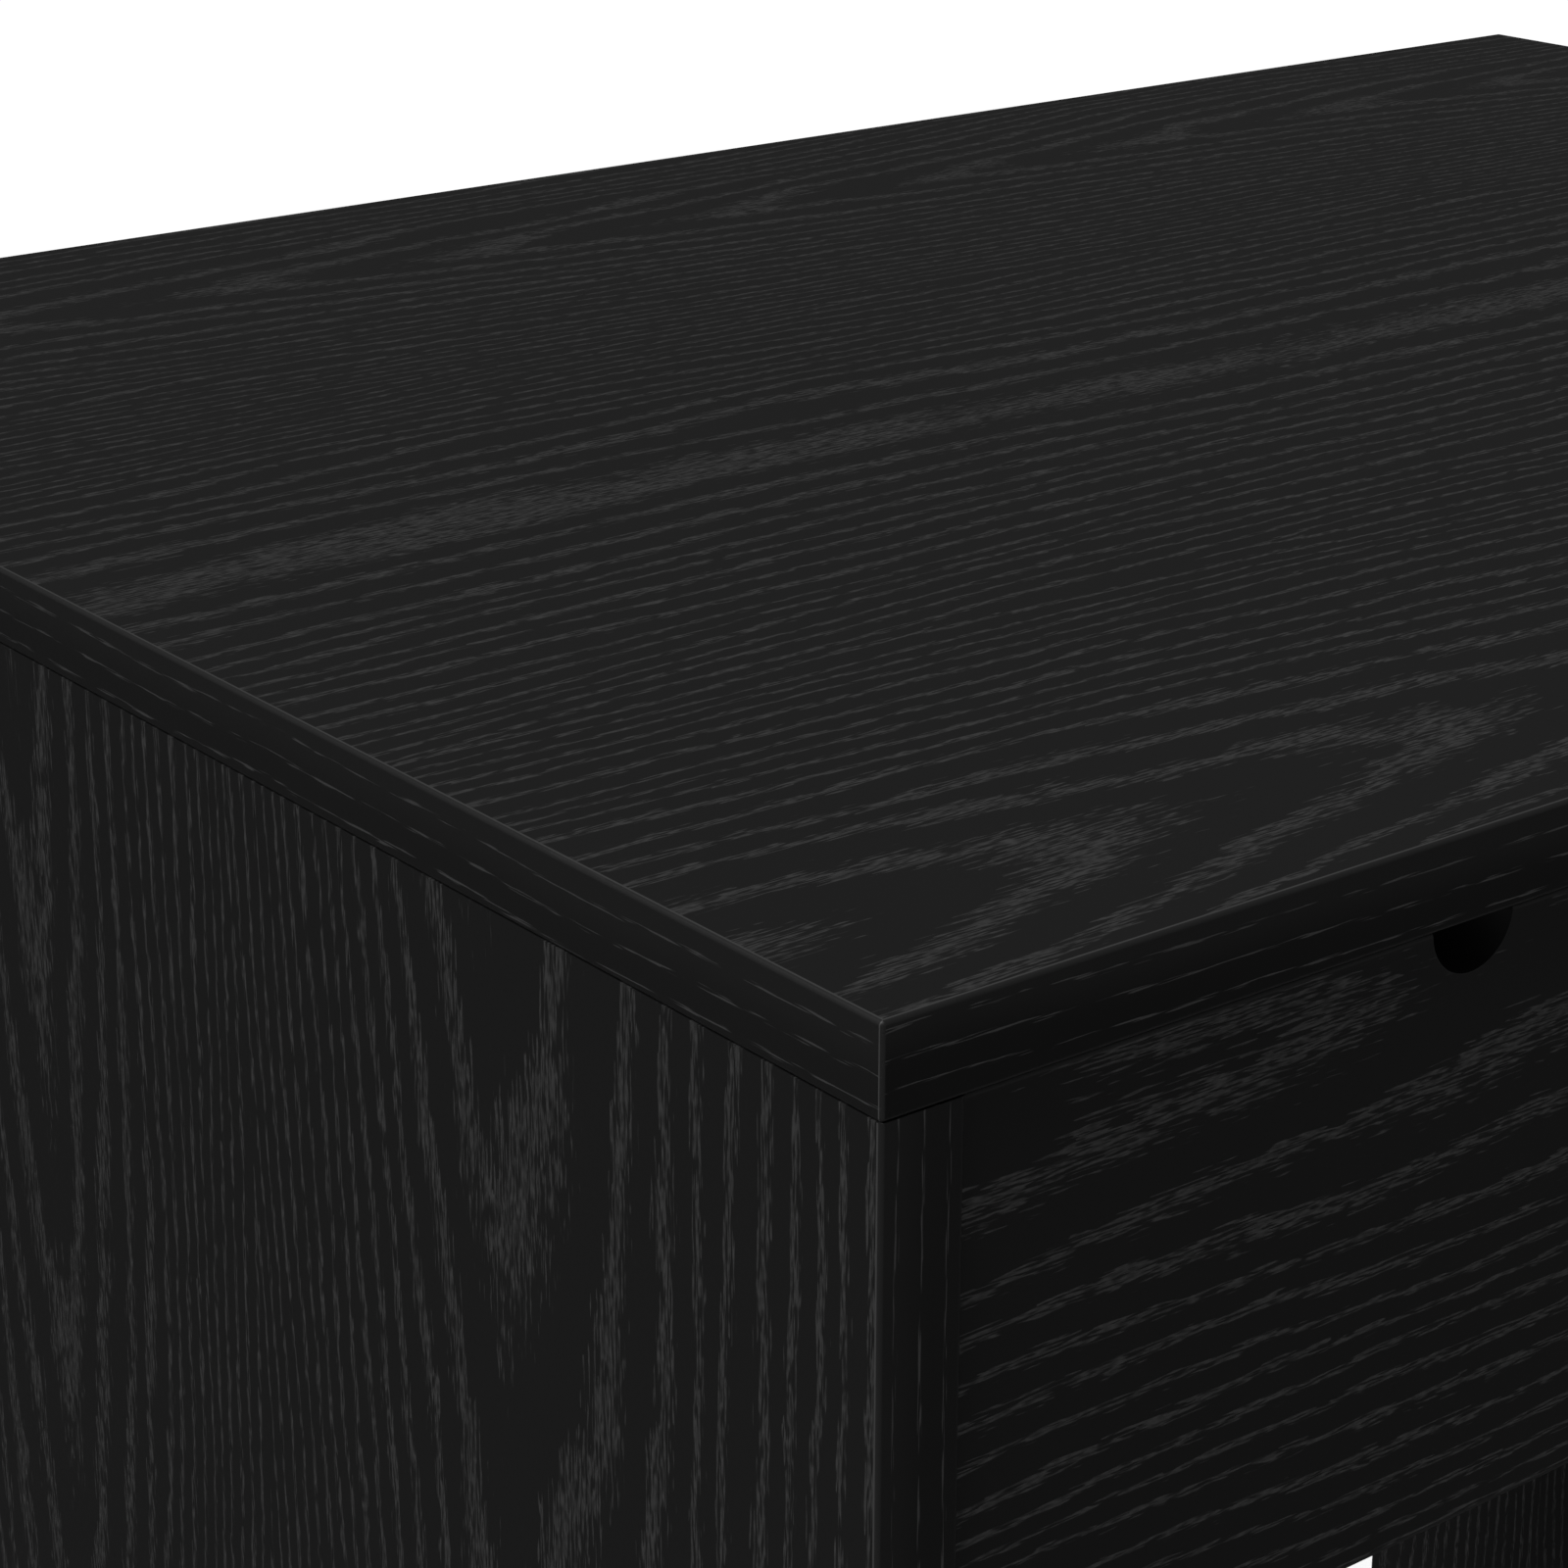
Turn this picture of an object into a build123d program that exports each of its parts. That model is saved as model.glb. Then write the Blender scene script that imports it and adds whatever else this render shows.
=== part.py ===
from build123d import *
import os

# Dressing-table dresser in black oak laminate: a flat top on two slab legs, with three shallow
# drawers side by side under it. Millimetres, +X to the right, +Y to the back, +Z up.
# The origin is on the floor, under the middle of the top.

# ---- driving dimensions -------------------------------------------------------------------------
WIDTH = 660.0
DEPTH = 490.0
HEIGHT = 750.0
BOARD = 15.0  # laminated board: top, legs, deck, partitions, back panel and drawer fronts
BAND = 1.0  # edge band glued on each visible board edge
EDGE_ROUND = 0.8  # rounding of the edge bands, less than BAND
DRAWER_NAMES = ("left", "middle", "right")

FRONT_RECESS = 4.0  # drawer fronts stand back from the front edge of the top
FRONT_GAP = 2.0  # gap round each drawer front
FRONT_HEIGHT = 108.5
NOTCH_RADIUS = 9.0  # half-round finger notch in the top edge of each drawer front

CASE_SETBACK = 1.0  # partitions and deck start this far behind the drawer fronts
DECK_LIFT = 1.5  # the deck's underside above the lower edge of the drawer fronts
BACK_INSET = 10.0  # back panel ahead of the rear edges of the legs
BACK_HEIGHT = 300.0  # the back panel reaches down into the kneehole and braces the legs

BOX_BOARD = 12.0  # drawer box sides and backs
BOX_HEIGHT = 80.0
BOX_LENGTH = 406.0
BOX_LIFT = 5.0  # drawer box above the deck
BOTTOM_THICK = 3.0
BOTTOM_LIFT = 6.0  # underside of the drawer bottom above the lower edge of the box sides
GROOVE = 5.0  # depth of the grooves that hold the drawer bottom

SLIDE_THICK = 12.7  # ball-bearing slide, wall to drawer side
SLIDE_LENGTH = 400.0
SLIDE_START = 3.0  # slide starts behind the back face of the drawer front
SLIDE_STEEL = 1.2
SLIDE_CENTRE_LIFT = 43.0  # centre line of the slides above the deck
OUTER_HALF_HEIGHT = 17.5
OUTER_REACH = 9.6  # how far the outer member's flanges stand out from the wall
OUTER_LIP = 1.8
INNER_HALF_HEIGHT = 10.5
INNER_REACH = 9.5  # how far the inner member's flanges stand out from the drawer side
TRAVEL = 300.0
BALL_RADIUS = 2.8
BALLS_PER_ROW = 5
BALL_PITCH = 21.0
BALL_OFFSET = 5.4  # ball centres from the wall
CAGE_LENGTH = 100.0
CAGE_STEEL = 0.8
CAGE_OFFSET = 1.6  # cage web from the wall
CAGE_REACH = 9.0
CAGE_HOLE_RADIUS = 2.9

CAM_RADIUS = 7.5
CAM_DEPTH = 12.0
CAM_REACH = 24.0  # cam centre from the seam that it draws together
BOLT_RADIUS = 3.5
BOLT_NECK_RADIUS = 2.0
BOLT_HEAD_RADIUS = 3.2
BOLT_HEAD_LENGTH = 3.0
BOLT_END_GAP = 1.0  # bolt head short of the cam's centre, and shank short of its rim
BOLT_THREAD_RADIUS = 2.5
BOLT_THREAD_LENGTH = 10.0
SOCKET_RADIUS = 3.0
SOCKET_DEPTH = 2.5
CAM_SLOT_GAP = 0.3
PLUG_GAP = 0.2
COVER_RADIUS = 8.5
COVER_THICK = 0.9
DOWEL_RADIUS = 4.0
DOWEL_LONG_END = 20.0
DOWEL_SHORT_END = 10.0
DOWEL_CHAMFER = 0.8
CONFIRMAT_LENGTH = 50.0
CONFIRMAT_RADIUS = 3.0
CONFIRMAT_HEAD_RADIUS = 4.75
CONFIRMAT_HEAD_DEPTH = 3.0
HEX_SOCKET_RADIUS = 2.2  # centre to corner
DRIVE_SLOT_WIDTH = 0.6

BOX_CAM_LIFTS = (20.0, 62.0)  # heights of the cams above the lower edge of the box sides
BOX_SCREW_LIFTS = (18.0, 70.0)
BOX_SCREW_RADIUS = 1.75
BOX_SCREW_HEAD_RADIUS = 3.5
BOX_SCREW_HEAD_DEPTH = 2.0
BOX_SCREW_LENGTH = 35.0
SLIDE_SCREW_RADIUS = 1.8
SLIDE_SCREW_HEAD_RADIUS = 3.0
SLIDE_SCREW_DEPTH = 7.0
SLIDE_SCREW_PLACES = (37.0, 165.0, 357.0)  # along the slide, from its front end

GLIDE_RADIUS = 6.5
GLIDE_HEIGHT = 5.0
GLIDE_ROUND = 1.5
GLIDE_PIN_RADIUS = 1.5
GLIDE_PIN_LENGTH = 15.0
GLIDE_INSET = 30.0  # glide centres from the front and rear edges of the legs

# Places of the fasteners that hold the boards together. X places are those of the left half.
LEG_CAM_Y = (-190.0, 0.0, 185.0)
LEG_DOWEL_Y = (-140.0, 135.0)
DECK_CAM_Y = (-180.0, 175.0)
DECK_DOWEL_Y = (-130.0, 125.0)
DECK_SCREW_X = (-210.0, 0.0, 210.0)
BACK_CAM_Z = (475.0, 705.0)
BACK_DOWEL_Z = 575.0
BACK_CAM_X = -120.0
BACK_DOWEL_X = -220.0
PARTITION_DOWEL_Y = (-170.0, 150.0)
PARTITION_SCREW_Y = (-150.0, 120.0)
PARTITION_SCREW_Z = 700.0

# ---- derived places -----------------------------------------------------------------------------
RIGHT_X = WIDTH / 2
BACK_Y = DEPTH / 2
FRONT_Y = -BACK_Y
TOP_UNDERSIDE_Z = HEIGHT - BOARD
INNER_X = RIGHT_X - BOARD  # inner face of a leg
PANEL_Y = (FRONT_Y + FRONT_RECESS, FRONT_Y + FRONT_RECESS + BOARD)  # drawer front thickness
FRONT_TOP_Z = TOP_UNDERSIDE_Z - FRONT_GAP
FRONT_LOW_Z = FRONT_TOP_Z - FRONT_HEIGHT
CASE_Y = (PANEL_Y[1] + CASE_SETBACK, BACK_Y - BACK_INSET - BOARD)
BACK_PANEL_Y = (CASE_Y[1], CASE_Y[1] + BOARD)
BACK_PANEL_LOW_Z = TOP_UNDERSIDE_Z - BACK_HEIGHT
DECK_Z = (FRONT_LOW_Z + DECK_LIFT, FRONT_LOW_Z + DECK_LIFT + BOARD)
BAY_COUNT = len(DRAWER_NAMES)
BAY_WIDTH = (2 * INNER_X - (BAY_COUNT - 1) * BOARD) / BAY_COUNT
FRONT_WIDTH = (2 * INNER_X - (BAY_COUNT + 1) * FRONT_GAP) / BAY_COUNT
BOX_Z = (DECK_Z[1] + BOX_LIFT, DECK_Z[1] + BOX_LIFT + BOX_HEIGHT)
BOX_Y = (PANEL_Y[1], PANEL_Y[1] + BOX_LENGTH)
BOTTOM_Z = (BOX_Z[0] + BOTTOM_LIFT, BOX_Z[0] + BOTTOM_LIFT + BOTTOM_THICK)
SLIDE_Y = (PANEL_Y[1] + SLIDE_START, PANEL_Y[1] + SLIDE_START + SLIDE_LENGTH)
SLIDE_Z = DECK_Z[1] + SLIDE_CENTRE_LIFT
# At full travel the cage's front end reaches the front end of the outer member.
CAGE_Y = (SLIDE_Y[0] + TRAVEL / 2, SLIDE_Y[0] + TRAVEL / 2 + CAGE_LENGTH)
BALL_LIFT = (OUTER_HALF_HEIGHT - SLIDE_STEEL + INNER_HALF_HEIGHT) / 2

LEFT = Vector(-1, 0, 0)
RIGHT = Vector(1, 0, 0)
FRONT = Vector(0, -1, 0)
BACK = Vector(0, 1, 0)
UP = Vector(0, 0, 1)
DOWN = Vector(0, 0, -1)


# ---- shapes -------------------------------------------------------------------------------------
def block(x, y, z):
    """A box from its lowest and highest x, y and z."""
    size = Box(x[1] - x[0], y[1] - y[0], z[1] - z[0], align=(Align.MIN, Align.MIN, Align.MIN))
    return Pos(x[0], y[0], z[0]) * size


def rod(start, direction, radius, length, end_radius=None):
    """A round rod, or a cone when end_radius is given, from start along direction."""
    low = (Align.CENTER, Align.CENTER, Align.MIN)
    if end_radius is None:
        body = Cylinder(radius, length, align=low)
    else:
        body = Cone(radius, end_radius, length, align=low)
    return Plane(origin=start, z_dir=direction) * body


def mirrored(shapes):
    """The same shapes on the other side of the middle of the dresser."""
    return [mirror(shape, about=Plane.YZ) for shape in shapes]


def write(name, shapes):
    """One STEP file for one sub-part, which may be several separate solids."""
    solids = [solid for shape in shapes for solid in shape.solids()]
    export_step(Compound(solids), f"parts/{name}.step")


def banded_board(x, y, z, sides):
    """A board's core and its list of edge bands, one on each named side."""
    planes = {"left": (0, x[0]), "right": (0, x[1]), "front": (1, y[0]), "back": (1, y[1])}
    planes.update({"bottom": (2, z[0]), "top": (2, z[1])})
    spans = [x, y, z]
    thickness_axis = min(range(3), key=lambda axis: spans[axis][1] - spans[axis][0])
    plain = [n for n, (axis, _) in planes.items() if axis != thickness_axis and n not in sides]
    whole = block(x, y, z)
    rounded = []
    for edge in whole.edges():
        middle = tuple(edge.center())
        touching = [n for n, (axis, at) in planes.items() if abs(middle[axis] - at) < 1e-6]
        if any(n in sides for n in touching) and not any(n in plain for n in touching):
            rounded.append(edge)
    whole = fillet(rounded, EDGE_ROUND)
    inner = [list(span) for span in spans]
    bands = []
    for name in sides:
        axis, at = planes[name]
        end = 0 if at == spans[axis][0] else 1
        strip = [list(span) for span in inner]
        inner[axis][end] += BAND if end == 0 else -BAND
        strip[axis] = sorted((at, inner[axis][end]))
        bands.append(whole & block(*strip))
    return block(*inner), bands


# ---- fasteners ----------------------------------------------------------------------------------
class CamJoint:
    """A cam lock: a cam disc in the face of one board, and its bolt in the face of the next. Its round
    sizes shrink with the thickness of the board that holds the cam."""

    def __init__(self, seam, into_next, mouth, thickness=BOARD):
        scale = thickness / BOARD
        cam_radius = CAM_RADIUS * scale
        head_radius = BOLT_HEAD_RADIUS * scale
        shank_radius = BOLT_RADIUS * scale
        seam = Vector(*seam)
        centre = seam - into_next * CAM_REACH
        face = centre + mouth * (thickness / 2)
        rim = CAM_REACH - cam_radius  # from the seam to the cam's rim
        thread = rod(seam, into_next, BOLT_THREAD_RADIUS * scale, BOLT_THREAD_LENGTH * scale)
        shank = rod(seam, -into_next, shank_radius, rim - BOLT_END_GAP)
        neck = rod(seam, -into_next, BOLT_NECK_RADIUS * scale, CAM_REACH - BOLT_END_GAP)
        head_start = seam - into_next * (CAM_REACH - BOLT_END_GAP - BOLT_HEAD_LENGTH)
        head = rod(head_start, -into_next, head_radius, BOLT_HEAD_LENGTH)
        self.bolt = thread + shank + neck + head
        self.hole = thread + rod(seam, -into_next, shank_radius, rim + BOLT_END_GAP)
        self.pocket = rod(face, -mouth, cam_radius, CAM_DEPTH * scale)
        slot = rod(seam, -into_next, head_radius + CAM_SLOT_GAP, CAM_REACH + BOLT_END_GAP)
        socket = rod(face, -mouth, SOCKET_RADIUS * scale, SOCKET_DEPTH * scale)
        self.disc = self.pocket - slot - socket
        cap = rod(face, mouth, COVER_RADIUS, COVER_THICK)
        rim_edge = cap.edges().sort_by(Axis(face, mouth))[-1:]
        plug = rod(face, -mouth, SOCKET_RADIUS - PLUG_GAP, SOCKET_DEPTH - PLUG_GAP)
        self.cover = fillet(rim_edge, COVER_THICK / 2) + plug


def dowel(seam, into_next, radius=DOWEL_RADIUS):
    """A wooden dowel, its long end in one board's edge and its short end in the next board."""
    start = Vector(*seam) - into_next * DOWEL_LONG_END
    return chamfer(
        rod(start, into_next, radius, DOWEL_LONG_END + DOWEL_SHORT_END)
        .edges()
        .filter_by(GeomType.CIRCLE),
        DOWEL_CHAMFER,
    )


def confirmat(face, direction):
    """A one-piece connecting screw, with its countersunk head flush with the face."""
    face = Vector(*face)
    head = rod(face, direction, CONFIRMAT_HEAD_RADIUS, CONFIRMAT_HEAD_DEPTH, CONFIRMAT_RADIUS)
    return head + rod(face, direction, CONFIRMAT_RADIUS, CONFIRMAT_LENGTH)


def hexed(screw, face, direction):
    """The screw with a hexagon socket in its head."""
    hexagon = RegularPolygon(HEX_SOCKET_RADIUS, 6)
    return screw - Plane(origin=face, z_dir=direction) * extrude(hexagon, CONFIRMAT_HEAD_DEPTH)


def flat_head_screw(face, direction, radius, head_radius, head_depth, length):
    """A countersunk wood screw, with a straight drive slot in its head."""
    face = Vector(*face)
    screw = rod(face, direction, head_radius, head_depth, radius)
    screw += rod(face, direction, radius, length)
    slot = Plane(origin=face, z_dir=direction) * Box(2 * head_radius, DRIVE_SLOT_WIDTH, head_depth)
    return screw, screw - slot


# ---- carcass fasteners --------------------------------------------------------------------------
def carcass_cams():
    """The cam joints of the left half of the carcass, by where they are."""
    deck_mid = sum(DECK_Z) / 2
    back_mid = sum(BACK_PANEL_Y) / 2
    leg_mid = -INNER_X - BOARD / 2
    return {
        "leg_to_top": [
            CamJoint((leg_mid, y, TOP_UNDERSIDE_Z), UP, RIGHT) for y in LEG_CAM_Y
        ],
        "deck_to_leg": [CamJoint((-INNER_X, y, deck_mid), LEFT, DOWN) for y in DECK_CAM_Y],
        "back_to_leg": [CamJoint((-INNER_X, back_mid, z), LEFT, BACK) for z in BACK_CAM_Z],
        "back_to_top": [CamJoint((BACK_CAM_X, back_mid, TOP_UNDERSIDE_Z), UP, BACK)],
    }


def carcass_dowels():
    """The wooden dowels of the left half of the carcass, by where they are."""
    deck_mid = sum(DECK_Z) / 2
    back_mid = sum(BACK_PANEL_Y) / 2
    leg_mid = -INNER_X - BOARD / 2
    partition_mid = -(BAY_WIDTH + BOARD) / 2
    return {
        "leg_to_top": [dowel((leg_mid, y, TOP_UNDERSIDE_Z), UP) for y in LEG_DOWEL_Y],
        "deck_to_leg": [dowel((-INNER_X, y, deck_mid), LEFT) for y in DECK_DOWEL_Y],
        "back_to_leg": [dowel((-INNER_X, back_mid, BACK_DOWEL_Z), LEFT)],
        "partition_to_top": [
            dowel((partition_mid, y, TOP_UNDERSIDE_Z), UP) for y in PARTITION_DOWEL_Y
        ],
        "back_to_top": [dowel((BACK_DOWEL_X, back_mid, TOP_UNDERSIDE_Z), UP)],
    }


def confirmat_places():
    """Face point and direction of each connecting screw, for both halves of the carcass."""
    rear = BACK_PANEL_Y[1]
    deck_mid = sum(DECK_Z) / 2
    partition_mid = (BAY_WIDTH + BOARD) / 2
    places = []
    for x in (-partition_mid, partition_mid):
        places += [((x, y, DECK_Z[0]), UP) for y in PARTITION_SCREW_Y]
        places.append(((x, rear, PARTITION_SCREW_Z), FRONT))
    places += [((x, rear, deck_mid), FRONT) for x in DECK_SCREW_X]
    return places


# ---- drawer slides ------------------------------------------------------------------------------
def channel(wall_x, side, near, far, half_height, steel, y):
    """A flat web and two flanges. near and far are the web's and the flange tips' offsets from the
    wall at wall_x, towards side."""
    web_end = near + steel if far > near else near - steel
    web_x = sorted((wall_x + side * near, wall_x + side * web_end))
    flange_x = sorted((wall_x + side * near, wall_x + side * far))
    body = block(web_x, y, (SLIDE_Z - half_height, SLIDE_Z + half_height))
    body += block(flange_x, y, (SLIDE_Z + half_height - steel, SLIDE_Z + half_height))
    body += block(flange_x, y, (SLIDE_Z - half_height, SLIDE_Z - half_height + steel))
    return body


def outer_member(wall_x, side):
    """The fixed member, screwed to the wall, with lips that keep the balls in."""
    body = channel(wall_x, side, 0, OUTER_REACH, OUTER_HALF_HEIGHT, SLIDE_STEEL, SLIDE_Y)
    lip_x = sorted((wall_x + side * (OUTER_REACH - SLIDE_STEEL), wall_x + side * OUTER_REACH))
    inside = OUTER_HALF_HEIGHT - SLIDE_STEEL
    body += block(lip_x, SLIDE_Y, (SLIDE_Z + inside - OUTER_LIP, SLIDE_Z + inside))
    body += block(lip_x, SLIDE_Y, (SLIDE_Z - inside, SLIDE_Z - inside + OUTER_LIP))
    return body


def inner_member(wall_x, side):
    """The member that is screwed to the drawer's side and slides with it."""
    far = SLIDE_THICK - INNER_REACH
    return channel(wall_x, side, SLIDE_THICK, far, INNER_HALF_HEIGHT, SLIDE_STEEL, SLIDE_Y)


def ball_places(wall_x, side):
    """The centres of the balls of one slide."""
    middle = sum(CAGE_Y) / 2
    first = middle - BALL_PITCH * (BALLS_PER_ROW - 1) / 2
    x = wall_x + side * BALL_OFFSET
    return [
        Vector(x, first + number * BALL_PITCH, SLIDE_Z + row * BALL_LIFT)
        for row in (-1, 1)
        for number in range(BALLS_PER_ROW)
    ]


def ball_cage(wall_x, side):
    """The retainer between the members, with a round hole for each ball."""
    half_height = BALL_LIFT + CAGE_STEEL / 2
    body = channel(wall_x, side, CAGE_OFFSET, CAGE_REACH, half_height, CAGE_STEEL, CAGE_Y)
    holes = [
        rod(centre - UP * CAGE_STEEL, UP, CAGE_HOLE_RADIUS, 2 * CAGE_STEEL)
        for centre in ball_places(wall_x, side)
    ]
    return body - holes


def slide_screws(face_x, direction):
    """Hole shapes and screws through one slide member's web, heads flush in the web."""
    pairs = []
    for place in SLIDE_SCREW_PLACES:
        face = (face_x, SLIDE_Y[0] + place, SLIDE_Z)
        pairs.append(
            flat_head_screw(
                face,
                direction,
                SLIDE_SCREW_RADIUS,
                SLIDE_SCREW_HEAD_RADIUS,
                SLIDE_STEEL,
                SLIDE_STEEL + SLIDE_SCREW_DEPTH,
            )
        )
    return [pair[0] for pair in pairs], [pair[1] for pair in pairs]


# ---- feet ---------------------------------------------------------------------------------------
def foot_glides():
    """Nail-on glides under both legs, as solids."""
    glides = []
    for x in (-RIGHT_X + BOARD / 2, RIGHT_X - BOARD / 2):
        for y in (FRONT_Y + GLIDE_INSET, BACK_Y - GLIDE_INSET):
            pad = rod((x, y, 0), UP, GLIDE_RADIUS, GLIDE_HEIGHT)
            pad = fillet(pad.edges().group_by(Axis.Z)[0], GLIDE_ROUND)
            glides.append(pad + rod((x, y, 0), UP, GLIDE_PIN_RADIUS, GLIDE_HEIGHT + GLIDE_PIN_LENGTH))
    return glides


# ---- carcass ------------------------------------------------------------------------------------
def build_carcass(wall_screw_holes):
    """Writes every board, band and fastener that doesn't move."""
    cams = carcass_cams()
    dowels = carcass_dowels()
    screw_places = confirmat_places()
    screw_holes = [confirmat(face, direction) for face, direction in screw_places]
    glides = foot_glides()

    def holes(*groups):
        """The bolt holes and dowels of the named groups, on the left."""
        shapes = [cam.hole for group in groups for cam in cams.get(group, [])]
        return shapes + [pin for group in groups for pin in dowels.get(group, [])]

    def pockets(*groups):
        return [cam.pocket for group in groups for cam in cams[group]]

    # The top lies over the legs and is banded all round.
    core, bands = banded_board(
        (-RIGHT_X, RIGHT_X),
        (FRONT_Y, BACK_Y),
        (TOP_UNDERSIDE_Z, HEIGHT),
        ["front", "back", "left", "right"],
    )
    top_holes = holes("leg_to_top", "partition_to_top", "back_to_top")
    write("top_panel", [core - top_holes - mirrored(top_holes)])
    write("top_edge_bands", bands)

    # The legs run the whole depth of the top, with their upper ends under it.
    core, bands = banded_board(
        (-RIGHT_X, -INNER_X),
        (FRONT_Y, BACK_Y),
        (GLIDE_HEIGHT, TOP_UNDERSIDE_Z),
        ["front", "back", "bottom"],
    )
    leg_holes = holes("leg_to_top", "deck_to_leg", "back_to_leg") + pockets("leg_to_top")
    leg = core - leg_holes - glides - wall_screw_holes
    bands = [band - glides for band in bands]
    write("left_side_panel", [leg])
    write("left_side_edge_bands", bands)
    write("right_side_panel", mirrored([leg]))
    write("right_side_edge_bands", mirrored(bands))

    # Two partitions between the drawers, from the deck up to the top.
    inner_bands = []
    left_x = (-BAY_WIDTH / 2 - BOARD, -BAY_WIDTH / 2)
    core, bands = banded_board(left_x, CASE_Y, (DECK_Z[1], TOP_UNDERSIDE_Z), ["front"])
    partition = core - holes("partition_to_top") - screw_holes - wall_screw_holes
    write("left_partition", [partition])
    write("right_partition", mirrored([partition]))
    inner_bands += bands + mirrored(bands)

    # The deck closes the drawer case from below.
    core, bands = banded_board((-INNER_X, INNER_X), CASE_Y, DECK_Z, ["front"])
    deck_holes = holes("deck_to_leg") + pockets("deck_to_leg")
    write("deck_panel", [core - deck_holes - mirrored(deck_holes) - screw_holes])
    inner_bands += bands

    # The back panel stands between the legs.
    core, bands = banded_board(
        (-INNER_X, INNER_X), BACK_PANEL_Y, (BACK_PANEL_LOW_Z, TOP_UNDERSIDE_Z), ["bottom"]
    )
    back_holes = holes("back_to_leg", "back_to_top") + pockets("back_to_leg", "back_to_top")
    write("back_panel", [core - back_holes - mirrored(back_holes) - screw_holes])
    inner_bands += bands
    write("inner_edge_bands", inner_bands)

    every_cam = [cam for group in cams.values() for cam in group]
    covered = cams["deck_to_leg"] + cams["back_to_leg"] + cams["back_to_top"]
    discs = [cam.disc for cam in every_cam]
    bolts = [cam.bolt for cam in every_cam]
    covers = [cam.cover for cam in covered]
    pins = [pin for group in dowels.values() for pin in group]
    write("cam_discs", discs + mirrored(discs))
    write("cam_bolts", bolts + mirrored(bolts))
    write("cam_covers", covers + mirrored(covers))
    write("dowels", pins + mirrored(pins))
    screws = [hexed(hole, *place) for hole, place in zip(screw_holes, screw_places)]
    write("connecting_screws", screws)
    write("foot_glides", glides)


# ---- drawers ------------------------------------------------------------------------------------
def build_drawer(name, number):
    """Writes one drawer with its slides, and returns the screws that hold them to the walls."""
    bay_left = -INNER_X + number * (BAY_WIDTH + BOARD)
    bay = (bay_left, bay_left + BAY_WIDTH)
    box_x = (bay[0] + SLIDE_THICK, bay[1] - SLIDE_THICK)
    inside_x = (box_x[0] + BOX_BOARD, box_x[1] - BOX_BOARD)
    front_left = -INNER_X + FRONT_GAP + number * (FRONT_WIDTH + FRONT_GAP)
    front_x = (front_left, front_left + FRONT_WIDTH)
    walls = ((bay[0], 1, RIGHT), (bay[1], -1, LEFT))  # wall, side of the drawer, its direction

    bottom = block(
        (inside_x[0] - GROOVE, inside_x[1] + GROOVE), (PANEL_Y[1] - GROOVE, BOX_Y[1]), BOTTOM_Z
    )

    cams = []
    back_screws = []
    for x, side in ((box_x[0] + BOX_BOARD / 2, RIGHT), (box_x[1] - BOX_BOARD / 2, LEFT)):
        for lift in BOX_CAM_LIFTS:
            seam = (x, PANEL_Y[1], BOX_Z[0] + lift)
            cams.append(CamJoint(seam, FRONT, side, BOX_BOARD))
        for lift in BOX_SCREW_LIFTS:
            face = (x - side.X * BOX_BOARD / 2, BOX_Y[1] - BOX_BOARD / 2, BOX_Z[0] + lift)
            back_screws.append(
                flat_head_screw(
                    face,
                    side,
                    BOX_SCREW_RADIUS,
                    BOX_SCREW_HEAD_RADIUS,
                    BOX_SCREW_HEAD_DEPTH,
                    BOX_SCREW_LENGTH,
                )
            )
    back_screw_holes = [pair[0] for pair in back_screws]
    cam_holes = [cam.hole for cam in cams] + [cam.pocket for cam in cams]

    core, bands = banded_board(
        front_x, PANEL_Y, (FRONT_LOW_Z, FRONT_TOP_Z), ["left", "right", "top", "bottom"]
    )
    notch = rod((sum(front_x) / 2, PANEL_Y[0], FRONT_TOP_Z), BACK, NOTCH_RADIUS, BOARD)
    write(f"{name}_drawer_front", [core - notch - bottom - cam_holes])
    write(f"{name}_drawer_edge_bands", [band - notch for band in bands])

    outer_pairs = []
    inner_pairs = []
    for wall_x, side, direction in walls:
        outer_pairs.append(slide_screws(wall_x + side * SLIDE_STEEL, -direction))
        inner_pairs.append(slide_screws(wall_x + side * (SLIDE_THICK - SLIDE_STEEL), direction))
    outer_holes = [hole for pair in outer_pairs for hole in pair[0]]
    inner_holes = [hole for pair in inner_pairs for hole in pair[0]]

    side_tools = cam_holes + back_screw_holes + inner_holes + [bottom]
    left_side = block((box_x[0], inside_x[0]), BOX_Y, BOX_Z) - side_tools
    right_side = block((inside_x[1], box_x[1]), BOX_Y, BOX_Z) - side_tools
    write(f"{name}_drawer_left_side", [left_side])
    write(f"{name}_drawer_right_side", [right_side])
    back = block(inside_x, (BOX_Y[1] - BOX_BOARD, BOX_Y[1]), (BOTTOM_Z[1], BOX_Z[1]))
    write(f"{name}_drawer_back", [back - back_screw_holes])
    write(f"{name}_drawer_bottom", [bottom])
    write(f"{name}_drawer_cam_discs", [cam.disc for cam in cams])
    write(f"{name}_drawer_cam_bolts", [cam.bolt for cam in cams])
    write(f"{name}_drawer_back_screws", [pair[1] for pair in back_screws])

    sides = [(wall_x, side) for wall_x, side, _ in walls]
    write(f"{name}_outer_slides", [outer_member(*wall) - outer_holes for wall in sides])
    write(f"{name}_inner_slides", [inner_member(*wall) - inner_holes for wall in sides])
    write(f"{name}_inner_slide_screws", [screw for pair in inner_pairs for screw in pair[1]])
    write(f"{name}_ball_cages", [ball_cage(*wall) for wall in sides])
    balls = [Pos(centre) * Sphere(BALL_RADIUS) for wall in sides for centre in ball_places(*wall)]
    write(f"{name}_slide_balls", balls)
    return outer_holes, [screw for pair in outer_pairs for screw in pair[1]]


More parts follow.
